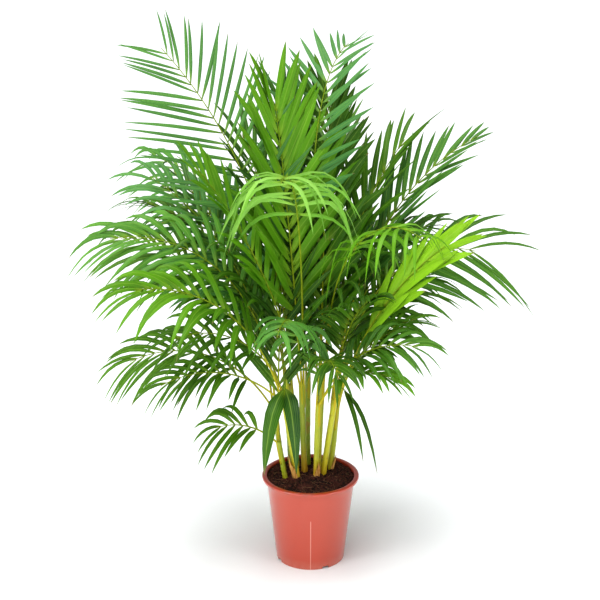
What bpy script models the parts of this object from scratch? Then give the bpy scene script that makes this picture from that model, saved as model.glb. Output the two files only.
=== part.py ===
"""Potted areca palm: a clump of canes with arching fronds, in a plastic nursery pot.

Metres, +Z up. The origin is the centre of the pot's foot, on the surface that it stands on, and
the front is toward -Y. Headings are degrees in plan: 0 is toward +X, 90 toward the back.
Leans are degrees from upright.
"""

import math
from typing import NamedTuple

import bmesh
import bpy
from mathutils import Matrix, Vector
from mathutils.bvhtree import BVHTree

# --- driving sizes -------------------------------------------------------------------------
GAP = 0.0003  # between pieces that touch

POT_HEIGHT = 0.222
POT_RIM_R = 0.120
POT_MOUTH_R = 0.110  # outside of the wall, just under the rim
POT_FOOT_R = 0.085
POT_WALL = 0.0022
POT_LIP_HEIGHT = 0.009
POT_FLOOR_LIFT = 0.008  # the drained ring of the floor stands this far off the surface
POT_DISC_R = 0.045  # the middle of the floor, which touches the surface
POT_DISC_DRAFT = 0.003  # the disc's edge slopes by this much
POT_CORNER = 0.002  # slope at the rim's corners
POT_SIDES = 48
NOTCH_HEADINGS = (26, 116, 206, 296)
NOTCH_WIDTH = 0.017
NOTCH_HEIGHT = 0.0065
DRAIN_COUNT = 6
DRAIN_SIDES = 8
DRAIN_R = 0.005
DRAIN_CIRCLE_R = 0.062
CUT_DEPTH = 0.02  # how far a cutter reaches through the wall or floor

SOIL_EDGE_Z = 0.209
SOIL_CROWN = 0.012  # how far the soil rises from its edge to the canes
SOIL_FLAT = 0.020  # the soil is level this far in from the wall
SOIL_RADII = (0, 0.02, 0.04, 0.06, 0.08, 0.093)
SOIL_SIDES = 36

CANE_SIDES = 10
CANE_TAPER = 0.93  # a cane's radius at its end, as a share of that at its root
CANE_ROOT = 0.030  # how deep a cane goes into the soil
CANE_SOIL_Z = 0.216  # level at which a cane's foot is given

PETIOLE_W = 0.0046  # a petiole's width and depth at the cane
TIP_SHARE = 0.30  # of that is left at the frond's tip
SEAT_R = 0.0050  # petioles stand on this circle on the cane's end
SPINE_STEPS = 60
PETIOLE_ROWS = 4
LEAF_END_SHARE = 0.12  # thickness at a leaflet's tip, as a share of PETIOLE_W
CLEARANCE = 0.0009  # kept between the leaflets of different fronds
SEAT_RISE = 0.7  # a leaning petiole's foot is raised by this share of its width
LONGEST_AT = 0.35  # share of the leafy length at which the leaflets are longest
END_LEAFLET = 0.35  # the last leaflet's length, as a share of the longest
TRIES = tuple((reach, turn) for reach in (1.0, 0.85, 0.7, 0.5) for turn in (0, -7, 7, 14))


class Cane(NamedTuple):
    foot: tuple
    heading: float
    lean: float
    length: float
    radius: float


class Frond(NamedTuple):
    cane: str
    seat: float  # where it stands on the cane's end, as a heading from the cane's axis
    heading: float
    lean: float  # at the cane
    arch: float  # lean at the tip
    length: float
    habit: str = "arching"
    bend: float = 1.3  # above 1, the arch is mostly near the tip
    roll: float = 0.0  # how far the blade is turned about its spine
    leaflet: float = 0.25  # the longest leaflet
    bare: float = 0.34  # share of the length that is petiole


class Habit(NamedTuple):
    pairs: int
    spread: tuple  # degrees from the spine, first and last leaflets
    rise: float  # degrees up from the blade
    droop: float  # fall of the tip, as a share of the leaflet's length
    share: tuple  # of the longest leaflet's length, for the first and last


HABITS = {
    "feather": Habit(12, (60, 30), 14, 0.12, (0.75, 0.45)),
    "upright": Habit(10, (40, 16), 20, 0.20, (0.85, 0.60)),
    "arching": Habit(10, (48, 18), 24, 0.48, (0.80, 0.55)),
    "weeping": Habit(8, (82, 55), 8, 0.80, (0.90, 0.65)),
    "young": Habit(6, (24, 14), 10, 0.15, (0.95, 0.70)),
    "fan": Habit(9, (50, 26), 10, 0.36, (0.85, 0.85)),
    "closed": Habit(10, (32, 16), 16, 0.08, (0.95, 0.35)),
    "strap": Habit(1, (5, 5), 2, 0.60, (1.0, 1.0)),
    "seedling": Habit(1, (16, 14), 4, 0.75, (1.0, 1.0)),
}

CANES = {
    "a": Cane((-0.066, 0.030), 180, 8, 0.17, 0.0062),
    "b": Cane((-0.034, -0.018), 190, 8, 0.20, 0.0082),
    "c": Cane((-0.034, 0.050), 170, 4, 0.22, 0.0064),
    "d": Cane((-0.014, 0.010), 200, 2, 0.24, 0.0070),
    "e": Cane((-0.006, 0.062), 90, 3, 0.24, 0.0064),
    "f": Cane((0.014, -0.014), 300, 3, 0.20, 0.0066),
    "g": Cane((0.020, 0.036), 0, 2, 0.23, 0.0064),
    "h": Cane((0.030, 0.002), 355, 8, 0.20, 0.0072),
    "i": Cane((0.040, 0.068), 10, 6, 0.21, 0.0064),
    "j": Cane((0.020, 0.088), 80, 5, 0.20, 0.0062),
    "k": Cane((-0.050, 0.078), 130, 7, 0.18, 0.0062),
    "l": Cane((0.050, 0.034), 10, 5, 0.17, 0.0064),
    "m": Cane((-0.062, -0.014), 200, 10, 0.10, 0.0058),
}

FRONDS = (
    Frond("a", 35, 165, 5, 60, 0.67, roll=-55),
    Frond("a", 305, 187, 3, 99, 0.67, bend=1.5, roll=-45),
    Frond("a", 220, 197, 30, 112, 0.42, roll=-40, leaflet=0.19),
    Frond("a", 125, 140, 8, 60, 0.66),
    Frond("b", 170, 212, 16, 88, 0.56, roll=-30),
    Frond("b", 80, 198, 14, 108, 0.38, roll=-35, leaflet=0.18),
    Frond("b", 350, 268, 12, 125, 0.20, "seedling", leaflet=0.16, bare=0.85),
    Frond("b", 260, 208, 42, 110, 0.36, roll=-30, leaflet=0.16),
    Frond("c", 315, 155, 4, 48, 0.90, "feather", roll=-60, leaflet=0.26, bare=0.42),
    Frond("c", 75, 125, 4, 40, 0.64, "upright", bare=0.22),
    Frond("c", 195, 168, 10, 75, 0.60, bare=0.24),
    Frond("d", 0, 262, 6, 100, 0.76, "weeping", bend=2.6, leaflet=0.21, bare=0.62),
    Frond("d", 180, 205, 14, 38, 0.62, "upright", roll=-40, leaflet=0.20),
    Frond("d", 262, 254, 8, 130, 0.34, "weeping", bend=2.0, leaflet=0.12),
    Frond("d", 90, 125, 7, 12, 0.68, "upright", leaflet=0.31, bare=0.26),
    Frond("e", 160, 115, 4, 22, 0.68, "upright", bare=0.26),
    Frond("e", 40, 60, 1, 78, 0.86, "feather", bend=5.0, leaflet=0.19, bare=0.5),
    Frond("e", 290, 355, 10, 70, 0.50, bare=0.2),
    Frond("f", 20, 335, 22, 95, 0.33, roll=40, leaflet=0.17),
    Frond("f", 200, 282, 10, 112, 0.30, leaflet=0.16, bare=0.3),
    Frond("f", 290, 325, 28, 110, 0.26, leaflet=0.13),
    Frond("g", 120, 82, 4, 18, 0.70, "upright", bare=0.24),
    Frond("g", 30, 35, 5, 45, 0.64, "upright", bare=0.24),
    Frond("g", 300, 310, 5, 112, 0.64, "weeping", bend=2.2, leaflet=0.15, bare=0.55),
    Frond("h", 15, 338, 18, 50, 0.50, "young", roll=50, leaflet=0.21, bare=0.40),
    Frond("h", 105, 300, 7, 55, 0.36, leaflet=0.18),
    Frond("h", 285, 292, 12, 115, 0.10, "strap", leaflet=0.18, bare=0.85),
    Frond("i", 200, 12, 10, 66, 0.74, "closed", bend=1.8, roll=35, leaflet=0.19, bare=0.32),
    Frond("i", 80, 45, 14, 76, 0.46, roll=30, bare=0.2),
    Frond("i", 320, 5, 14, 108, 0.54, "fan", bend=2.0, roll=75, leaflet=0.23, bare=0.50),
    Frond("j", 255, 80, 6, 50, 0.70, "upright", bare=0.24),
    Frond("j", 130, 112, 12, 75, 0.66, bare=0.18),
    Frond("j", 20, 55, 14, 85, 0.52, roll=30, bare=0.2),
    Frond("k", 320, 140, 6, 85, 0.78, roll=-45),
    Frond("k", 190, 165, 18, 88, 0.60, roll=-40),
    Frond("k", 90, 100, 16, 80, 0.62, bare=0.18),
    Frond("l", 10, 5, 10, 80, 0.31, roll=30, leaflet=0.16),
    Frond("l", 100, 40, 14, 84, 0.44, roll=20),
    Frond("l", 280, 345, 12, 66, 0.28, roll=25, leaflet=0.14),
    Frond("m", 200, 204, 44, 100, 0.18, roll=-45, leaflet=0.14, bare=0.35),
    Frond("m", 110, 82, 4, 40, 0.48, "upright", bend=2.0, bare=0.24),
)

SHEATHS = {  # cane: (side it stands on, width round the cane in degrees, height)
    "b": (215, 150, 0.070),
    "f": (300, 130, 0.052),
    "l": (330, 120, 0.045),
}
SHEATH_THICK = 0.0008
SHEATH_FOOT = 0.004  # its lower edge, above the cane's foot level
SHEATH_FLARE = 0.0035  # how far its top stands away from the cane
SHEATH_LEVELS = (0, 0.4, 0.7, 1)  # shares of the height at which its outline bends
SHEATH_STEPS = 8

COLOURS = {
    "pot_plastic": ((0.60, 0.11, 0.055), 0.28),
    "peat": ((0.045, 0.024, 0.014), 0.95),
    "cane_green": ((0.42, 0.47, 0.06), 0.45),
    "leaf": ((0.075, 0.26, 0.025), 0.42),
    "leaf_lime": ((0.30, 0.50, 0.04), 0.42),
    "dry_sheath": ((0.50, 0.22, 0.05), 0.80),
}


# --- scene helpers -------------------------------------------------------------------------
def clear_scene():
    for obj in list(bpy.data.objects):
        bpy.data.objects.remove(obj)


def collection(name, hidden=False):
    made = bpy.data.collections.new(name)
    made.hide_render = hidden
    bpy.context.scene.collection.children.link(made)
    return made


def material(name):
    found = bpy.data.materials.get(name)
    if found:
        return found
    colour, roughness = COLOURS[name]
    made = bpy.data.materials.new(name)
    made.use_nodes = True
    shader = made.node_tree.nodes["Principled BSDF"]
    shader.inputs["Base Color"].default_value = (*colour, 1)
    shader.inputs["Roughness"].default_value = roughness
    shader.inputs["Metallic"].default_value = 0
    return made


def object_from(bm, name, group, finish=None):
    mesh = bpy.data.meshes.new(name)
    bm.to_mesh(mesh)
    bm.free()
    made = bpy.data.objects.new(name, mesh)
    group.objects.link(made)
    if finish:
        mesh.materials.append(material(finish))
    return made


def turned(name, profile, sides, group, finish=None):
    """A profile of (radius, height) points turned about Z. It runs down the outside and up the inside."""
    bm = bmesh.new()
    corners = [bm.verts.new((r, 0, z)) for r, z in profile]
    for first, second in zip(corners, corners[1:]):
        bm.edges.new((first, second))
    made = object_from(bm, name, group, finish)
    screw = made.modifiers.new("turn", "SCREW")
    screw.steps = screw.render_steps = sides
    screw.use_merge_vertices = True
    screw.merge_threshold = 0.0001
    return made


def hide_cutter(cutter):
    cutter.hide_render = True
    cutter.display_type = "WIRE"


def cut(obj, cutter, name):
    hide_cutter(cutter)
    boolean = obj.modifiers.new(name, "BOOLEAN")
    boolean.operation = "DIFFERENCE"
    boolean.object = cutter


# --- pot -----------------------------------------------------------------------------------
def wall_radius(z):
    """Outside radius of the pot's wall at a height."""
    share = z / (POT_HEIGHT - POT_LIP_HEIGHT)
    return POT_FOOT_R + (POT_MOUTH_R - POT_FOOT_R) * share


def pot_profile():
    lip = POT_HEIGHT - POT_LIP_HEIGHT
    inner = POT_FLOOR_LIFT + POT_WALL
    return (
        (0, 0),
        (POT_DISC_R, 0),
        (POT_DISC_R + POT_DISC_DRAFT, POT_FLOOR_LIFT),
        (wall_radius(0) - POT_WALL, POT_FLOOR_LIFT),
        (wall_radius(0) - POT_WALL, 0),
        (wall_radius(0), 0),
        (wall_radius(lip), lip),
        (POT_RIM_R - POT_CORNER, lip),
        (POT_RIM_R, lip + POT_CORNER),
        (POT_RIM_R, POT_HEIGHT - POT_CORNER),
        (POT_RIM_R - POT_CORNER, POT_HEIGHT),
        (wall_radius(lip) - POT_WALL + POT_CORNER, POT_HEIGHT),
        (wall_radius(lip) - POT_WALL, POT_HEIGHT - POT_CORNER),
        (wall_radius(lip) - POT_WALL, lip),
        (wall_radius(inner) - POT_WALL, inner),
        (POT_DISC_R, inner),
        (POT_DISC_R - POT_DISC_DRAFT, POT_WALL),
        (0, POT_WALL),
    )


def make_pot(parts, cutters):
    pot = turned("pot", pot_profile()[::-1], POT_SIDES, parts, "pot_plastic")
    bm = bmesh.new()
    notch = Matrix.Diagonal((CUT_DEPTH, NOTCH_WIDTH, 2 * NOTCH_HEIGHT, 1))
    for heading in NOTCH_HEADINGS:
        turn = Matrix.Rotation(math.radians(heading), 4, "Z")
        place = turn @ Matrix.Translation((POT_FOOT_R, 0, 0)) @ notch
        bmesh.ops.create_cube(bm, size=1, matrix=place)
    for k in range(DRAIN_COUNT):
        turn = Matrix.Rotation(2 * math.pi * k / DRAIN_COUNT, 4, "Z")
        place = turn @ Matrix.Translation((DRAIN_CIRCLE_R, 0, POT_FLOOR_LIFT))
        bmesh.ops.create_cone(
            bm,
            cap_ends=True,
            segments=DRAIN_SIDES,
            radius1=DRAIN_R,
            radius2=DRAIN_R,
            depth=CUT_DEPTH,
            matrix=place,
        )
    cut(pot, object_from(bm, "pot_openings", cutters), "notches and drains")
    return pot


# --- soil ----------------------------------------------------------------------------------
def soil_height(r):
    """The soil's top: level at the wall, rising to the canes."""
    share = min(1, r / (POT_MOUTH_R - SOIL_FLAT))
    return SOIL_EDGE_Z + SOIL_CROWN * 0.5 * (1 + math.cos(math.pi * share))


def make_soil(parts, cutters):
    inner = POT_FLOOR_LIFT + POT_WALL + GAP
    side = POT_WALL + GAP * 2
    top = [(r, soil_height(r)) for r in SOIL_RADII]
    profile = (
        *top,
        (wall_radius(SOIL_EDGE_Z) - side, SOIL_EDGE_Z),
        (wall_radius(inner) - side, inner),
        (POT_DISC_R - 3 * GAP, inner),
        (POT_DISC_R - POT_DISC_DRAFT - 3 * GAP, POT_WALL + GAP * 2),
        (0, POT_WALL + GAP * 2),
    )
    soil = turned("soil", profile, SOIL_SIDES, parts, "peat")
    bm = bmesh.new()
    for cane in CANES.values():
        add_cane(bm, cane, GAP * 1.5)
    cut(soil, object_from(bm, "cane_holes", cutters), "cane holes")
    return soil


# --- canes ---------------------------------------------------------------------------------
def direction(heading, lean):
    way = math.radians(heading)
    lean = math.radians(lean)
    return Vector((math.sin(lean) * math.cos(way), math.sin(lean) * math.sin(way), math.cos(lean)))


def cane_end(cane):
    return Vector((*cane.foot, CANE_SOIL_Z)) + direction(cane.heading, cane.lean) * cane.length


def add_cane(bm, cane, grow=0.0):
    """The cane's tapered rod, from its root in the soil to the end that carries the petioles."""
    axis = direction(cane.heading, cane.lean)
    root = Vector((*cane.foot, CANE_SOIL_Z)) - axis * (CANE_ROOT + grow)
    end = cane_end(cane) + axis * grow
    place = Matrix.Translation((root + end) / 2) @ axis.to_track_quat("Z", "X").to_matrix().to_4x4()
    bmesh.ops.create_cone(
        bm,
        cap_ends=True,
        segments=CANE_SIDES,
        radius1=cane.radius + grow,
        radius2=cane.radius * CANE_TAPER + grow,
        depth=(end - root).length,
        matrix=place,
    )


def make_canes(parts):
    for name, cane in CANES.items():
        bm = bmesh.new()
        add_cane(bm, cane)
        object_from(bm, f"cane_{name}", parts, "cane_green")


def make_sheaths(parts):
    """Old leaf bases, dried and split: part of a tube round the cane's foot, open at its top."""
    for name, (side, width, height) in SHEATHS.items():
        cane = CANES[name]
        axis = direction(cane.heading, cane.lean)
        inner = cane.radius + 2 * GAP
        bm = bmesh.new()
        corners = [bm.verts.new((inner + SHEATH_FLARE * s**2, 0, height * s)) for s in SHEATH_LEVELS]
        for low, high in zip(corners, corners[1:]):
            bm.edges.new((low, high))
        bmesh.ops.rotate(bm, verts=bm.verts, matrix=Matrix.Rotation(math.radians(-width / 2), 3, "Z"))
        made = object_from(bm, f"dry_sheath_{name}", parts, "dry_sheath")
        turn = made.modifiers.new("turn", "SCREW")
        turn.angle = math.radians(width)
        turn.steps = turn.render_steps = SHEATH_STEPS
        shell = made.modifiers.new("thickness", "SOLIDIFY")
        shell.thickness = SHEATH_THICK
        shell.offset = -1
        foot = Vector((*cane.foot, CANE_SOIL_Z)) + axis * SHEATH_FOOT
        aim = axis.to_track_quat("Z", "X").to_matrix()
        local = aim.inverted() @ direction(side, 90)
        spin = Matrix.Rotation(math.atan2(local.y, local.x), 3, "Z")
        made.matrix_world = Matrix.Translation(foot) @ (aim @ spin).to_4x4()


# --- fronds --------------------------------------------------------------------------------
class Place(NamedTuple):
    point: Vector
    along: Vector
    side: Vector
    up: Vector


def spine(frond, start):
    """Points along the frond's middle, from the cane to the tip."""
    points = [start]
    for i in range(SPINE_STEPS):
        points.append(points[-1] + heading_at(frond, (i + 0.5) / SPINE_STEPS) * frond.length / SPINE_STEPS)
    return points


def heading_at(frond, share):
    lean = frond.lean + (frond.arch - frond.lean) * share**frond.bend
    return direction(frond.heading, lean)


def place_at(frond, points, share):
    """Where the spine is at a share of its length, and how the blade lies there."""
    at = share * SPINE_STEPS
    low = min(int(at), SPINE_STEPS - 1)
    along = heading_at(frond, share)
    way = math.radians(frond.heading)
    side = Vector((-math.sin(way), math.cos(way), 0))
    turn = Matrix.Rotation(math.radians(frond.roll) * min(1, share / frond.bare), 3, along)
    side = turn @ side
    return Place(points[low].lerp(points[low + 1], at - low), along, side, along.cross(side))


def seat(frond):
    """Where a petiole stands on its cane's end, just clear of it at the lean that it starts with."""
    cane = CANES[frond.cane]
    axis = direction(cane.heading, cane.lean)
    out = direction(frond.seat, 90) * SEAT_R
    out -= axis * out.dot(axis)
    dip = PETIOLE_W * SEAT_RISE * axis.cross(direction(frond.heading, frond.lean)).length
    return cane_end(cane) + out + axis * (dip + GAP)


def width_at(share):
    return PETIOLE_W * (1 - (1 - TIP_SHARE) * share)


def leaflet_tip(frond, place, share, sign, base, reach=1.0, turn=0.0):
    """The end of a leaflet. share runs from the first pair to the last, and sign is its side."""
    habit = HABITS[frond.habit]
    spread = math.radians(habit.spread[0] + (habit.spread[1] - habit.spread[0]) * share**2 + turn)
    rise = math.radians(habit.rise)
    out = place.side * sign * math.cos(rise) + place.up * math.sin(rise)
    way = place.along * math.cos(spread) + out * math.sin(spread)
    size = leaflet_length(frond, share) * reach
    return base + size * (way * (1 - 0.3 * habit.droop) - Vector((0, 0, habit.droop)))


def leaflet_length(frond, share):
    """Longest a third of the way along, shorter toward both ends."""
    first, last = HABITS[frond.habit].share
    if share < LONGEST_AT:
        part = first + (1 - first) * math.sin(math.pi / 2 * share / LONGEST_AT)
    else:
        part = 1 - (1 - last) * ((share - LONGEST_AT) / (1 - LONGEST_AT)) ** 1.5
    return frond.leaflet * part


class Blade:
    """One frond's shape: rows across the spine, and which gaps between rows carry leaflets."""

    def __init__(self, frond, name, start):
        self.frond = frond
        self.name = name
        self.points = spine(frond, start)
        pairs = HABITS[frond.habit].pairs
        petiole = [frond.bare * i / PETIOLE_ROWS for i in range(PETIOLE_ROWS)]
        leafy = [frond.bare + (1 - frond.bare) * i / (2 * pairs) for i in range(2 * pairs + 1)]
        self.shares = petiole + leafy
        self.places = [place_at(frond, self.points, s) for s in self.shares]
        self.pair_rows = [PETIOLE_ROWS + 2 * i for i in range(pairs)]
        self.leaflets = []

    def edge_point(self, row, sign):
        place = self.places[row]
        return place.point + place.side * sign * width_at(self.shares[row]) / 2

    def rod(self):
        """Corners and faces of the spine's square rod, a little oversize."""
        corners = []
        for share, place in zip(self.shares, self.places):
            half = width_at(share) / 2 + CLEARANCE / 2
            for a, b in ((1, 1), (-1, 1), (-1, -1), (1, -1)):
                corners.append(place.point + place.side * a * half + place.up * b * half)
        faces = [(0, 1, 2, 3), tuple(range(len(corners) - 4, len(corners)))]
        for row in range(len(self.places) - 1):
            for k in range(4):
                low = 4 * row + k
                after = 4 * row + (k + 1) % 4
                faces.append((low, after, after + 4, low + 4))
        return corners, faces


def wedge(a, b, tip, base_half, tip_half):
    """Corners and faces of the solid around one leaflet's triangle."""
    normal = (b - a).cross(tip - a).normalized()
    top = [a + normal * base_half, b + normal * base_half, tip + normal * tip_half]
    low = [a - normal * base_half, b - normal * base_half, tip - normal * tip_half]
    faces = [(0, 1, 2), (3, 5, 4), (0, 3, 4, 1), (1, 4, 5, 2), (2, 5, 3, 0)]
    return top + low, faces


def tree_of(solids):
    """One search tree over several (corners, faces) solids."""
    corners = []
    faces = []
    for points, polygons in solids:
        offset = len(corners)
        corners += points
        faces += [tuple(index + offset for index in face) for face in polygons]
    return BVHTree.FromPolygons(corners, faces) if faces else None


def grow_leaflets(blade, obstacles):
    """Gives each row its leaflets, a little shorter or turned where another frond is in the way."""
    taken = []
    for order, row in enumerate(blade.pair_rows):
        share = order / max(1, len(blade.pair_rows) - 1)
        middle = blade.places[row]
        for sign in (1, -1):
            a = blade.edge_point(row, sign)
            b = blade.edge_point(row + 1, sign)
            base_half = width_at(blade.shares[row]) / 2 + CLEARANCE
            tip_half = PETIOLE_W * LEAF_END_SHARE / 2 + CLEARANCE
            for reach, turn in TRIES:
                tip = leaflet_tip(blade.frond, middle, share, sign, (a + b) / 2, reach, turn)
                solid = wedge(a, b, tip, base_half, tip_half)
                tree = tree_of([solid])
                own = tree_of(taken)
                if own and tree.overlap(own):
                    continue
                if not any(tree.overlap(other) for other in obstacles):
                    blade.leaflets.append((row, sign, tip))
                    taken.append(solid)
                    break
    return taken


def frond_mesh(blade):
    """The open comb of one frond: a strip along the spine with a triangle for each leaflet."""
    bm = bmesh.new()
    rows = len(blade.places)
    bmesh.ops.create_grid(bm, x_segments=1, y_segments=rows - 1, size=1)
    bm.verts.ensure_lookup_table()
    weight = bm.verts.layers.deform.verify()
    for row in range(rows):
        for column, sign in ((0, 1), (1, -1)):
            corner = bm.verts[2 * row + column]
            corner.co = blade.edge_point(row, sign)
            corner[weight][0] = width_at(blade.shares[row]) / PETIOLE_W
    for row, sign, tip in blade.leaflets:
        column = 0 if sign > 0 else 1
        side = bm.edges.get((bm.verts[2 * row + column], bm.verts[2 * row + 2 + column]))
        add_point(bm, side, tip, weight)
        bm.verts.ensure_lookup_table()
    end = bm.edges.get((bm.verts[2 * rows - 2], bm.verts[2 * rows - 1]))
    last = blade.places[-1]
    add_point(bm, end, last.point + last.along * blade.frond.leaflet * END_LEAFLET, weight)
    bmesh.ops.recalc_face_normals(bm, faces=bm.faces)
    return bm


def add_point(bm, edge, tip, weight):
    """A triangle from an edge of the strip to a leaflet's tip."""
    made = bmesh.ops.extrude_edge_only(bm, edges=[edge])["geom"]
    corners = [part for part in made if isinstance(part, bmesh.types.BMVert)]
    bmesh.ops.pointmerge(bm, verts=corners, merge_co=tip)
    corners = [corner for corner in corners if corner.is_valid]
    corners[0][weight][0] = LEAF_END_SHARE


def make_frond(blade, parts):
    finish = "leaf_lime" if blade.frond.habit == "young" else "leaf"
    made = object_from(frond_mesh(blade), blade.name, parts, finish)
    made.vertex_groups.new(name="thickness")
    shell = made.modifiers.new("thickness", "SOLIDIFY")
    shell.thickness = PETIOLE_W
    shell.offset = 0
    shell.vertex_group = "thickness"
    return made


def all_blades():
    blades = []
    for name in CANES:
        mine = [frond for frond in FRONDS if frond.cane == name]
        for order, frond in enumerate(mine):
            blades.append(Blade(frond, f"cane_{name}_frond_{order + 1}", seat(frond)))
    return blades


def still_obstacles():
    """The pot and the canes, a little oversize, as search trees."""
    bm = bmesh.new()
    for cane in CANES.values():
        add_cane(bm, cane, CLEARANCE)
    bmesh.ops.create_cone(
        bm,
        cap_ends=True,
        segments=POT_SIDES,
        radius1=POT_FOOT_R,
        radius2=POT_RIM_R + 2 * CLEARANCE,
        depth=POT_HEIGHT + 2 * CLEARANCE,
        matrix=Matrix.Translation((0, 0, POT_HEIGHT / 2)),
    )
    tree = BVHTree.FromBMesh(bm)
    bm.free()
    return tree


def make_fronds(parts):
    blades = all_blades()
    still = still_obstacles()
    leaves = []
    for blade in blades:
        rods = tree_of([other.rod() for other in blades if other is not blade])
        obstacles = [still, rods]
        if leaves:
            obstacles.append(tree_of(leaves))
        leaves += grow_leaflets(blade, obstacles)
        make_frond(blade, parts)


def main():
    clear_scene()
    parts = collection("potted_areca_palm")
    cutters = collection("cutters", hidden=True)
    make_pot(parts, cutters)
    make_soil(parts, cutters)
    make_canes(parts)
    make_sheaths(parts)
    make_fronds(parts)


main()
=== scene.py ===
# %% [markdown]
# # A potted areca palm
# This lesson dresses a measured model of an areca palm in a nursery pot. The measured model gives
# every size. The dressed model adds what a camera sees: hundreds of narrow leaflets with a raised
# midrib, ringed canes, crumbly peat and a glossy moulded pot.
# Everything is in metres. Z is up, and the front of the plant is toward -Y.

# %% The fixed frame
import math
import random
from typing import NamedTuple

import bmesh
import bpy
from mathutils import Matrix, Vector, noise


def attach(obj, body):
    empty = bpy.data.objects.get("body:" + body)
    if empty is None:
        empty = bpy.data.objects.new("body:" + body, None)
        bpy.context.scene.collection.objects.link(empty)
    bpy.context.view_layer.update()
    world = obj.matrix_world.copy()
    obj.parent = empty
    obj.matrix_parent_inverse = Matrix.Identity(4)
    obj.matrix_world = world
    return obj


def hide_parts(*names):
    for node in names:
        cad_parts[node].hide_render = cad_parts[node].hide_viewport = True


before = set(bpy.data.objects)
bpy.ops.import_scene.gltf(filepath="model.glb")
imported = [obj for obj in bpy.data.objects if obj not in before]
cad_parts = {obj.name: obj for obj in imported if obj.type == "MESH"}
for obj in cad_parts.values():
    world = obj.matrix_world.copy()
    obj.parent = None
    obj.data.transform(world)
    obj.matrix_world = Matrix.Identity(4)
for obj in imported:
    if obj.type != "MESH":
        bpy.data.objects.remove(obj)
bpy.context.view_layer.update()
UP = Vector((0, 0, 1))
print("frame:", len(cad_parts), "nodes")

# %% [markdown]
# ## Camera, light and floor
# A plant is usually shown on a seamless white sweep. The camera stands a little above the leaves'
# middle and looks slightly down, so that the soil shows as a thin ellipse inside the rim.
# Light comes from everywhere, with a wide soft sun nearly overhead, one large panel above the left
# front, and a tall panel at each side. The glossy pot mirrors the pale floor most along its flanks.

# %% Camera
CAMERA_PLACE = (-0.026, -3.2, 1.71)
CAMERA_DIP = 17.95  # degrees below level
CAMERA_LENS = 84.8
CAMERA_SENSOR = 36


def add_camera():
    data = bpy.data.cameras.new("camera")
    data.lens = CAMERA_LENS
    data.sensor_width = CAMERA_SENSOR
    camera = bpy.data.objects.new("camera", data)
    camera.location = CAMERA_PLACE
    camera.rotation_euler = (math.radians(90 - CAMERA_DIP), 0, 0)
    bpy.context.scene.collection.objects.link(camera)
    bpy.context.scene.camera = camera


def add_panel(name, place, target, size, power):
    """A rectangular softbox that faces a point."""
    data = bpy.data.lights.new(name, "AREA")
    data.shape = "RECTANGLE"
    data.size, data.size_y = size
    data.energy = power
    lamp = bpy.data.objects.new(name, data)
    lamp.location = place
    lamp.rotation_euler = (Vector(target) - Vector(place)).to_track_quat("-Z", "Y").to_euler()
    bpy.context.scene.collection.objects.link(lamp)


def add_sun(heading, lean, strength, spread):
    data = bpy.data.lights.new("sun", "SUN")
    data.energy = strength
    data.angle = math.radians(spread)
    lamp = bpy.data.objects.new("sun", data)
    lamp.rotation_euler = (-direction(heading, lean)).to_track_quat("-Z", "Y").to_euler()
    bpy.context.scene.collection.objects.link(lamp)


def direction(heading, lean):
    """A unit vector. Heading is in plan, 0 toward +X and 90 toward +Y. Lean is from upright."""
    way = math.radians(heading)
    lean = math.radians(lean)
    flat = math.sin(lean)
    return Vector((flat * math.cos(way), flat * math.sin(way), math.cos(lean)))


add_camera()
add_sun(heading=215, lean=7, strength=2.6, spread=45)
add_panel("front panel", (-1.2, -3.5, 2.3), (0, 0, 0.7), (3.0, 2.0), 42)
add_panel("left panel", (-2.0, -1.5, 0.9), (0, 0, 0.5), (0.9, 2.2), 24)
add_panel("right panel", (2.0, -1.5, 0.9), (0, 0, 0.5), (0.9, 2.2), 18)
print("camera, sun and three panels are placed")

# %% [markdown]
# ## A short way to write a finish
# A material is a small sum over a surface: so much of this colour where the noise is high, so much
# roughness along a rib. Written as nodes alone that sum is hard to read. The class below wraps one
# output of a node, so that plain Python operators add the Math nodes.

# %% Sockets as values
class Value:
    """One output of a node. Arithmetic on it adds Math nodes."""

    def __init__(self, finish, socket):
        self.finish = finish
        self.socket = socket

    def maths(self, operation, first, second=None):
        inputs = {0: first} if second is None else {0: first, 1: second}
        return self.finish.node("ShaderNodeMath", {"operation": operation}, inputs)

    def __add__(self, other):
        return self.maths("ADD", self, other)

    def __radd__(self, other):
        return self.maths("ADD", other, self)

    def __sub__(self, other):
        return self.maths("SUBTRACT", self, other)

    def __rsub__(self, other):
        return self.maths("SUBTRACT", other, self)

    def __mul__(self, other):
        return self.maths("MULTIPLY", self, other)

    def __rmul__(self, other):
        return self.maths("MULTIPLY", other, self)

    def __abs__(self):
        return self.maths("ABSOLUTE", self)

    def sine(self):
        return self.maths("SINE", self)

    def step(self, low, high):
        """0 below low and 1 above high, with a smooth rise between them. low may be the larger."""
        settings = {"interpolation_type": "SMOOTHSTEP", "clamp": True}
        inputs = {0: self, 1: low, 2: high, 3: 0.0, 4: 1.0}
        return self.finish.node("ShaderNodeMapRange", settings, inputs)


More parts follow.
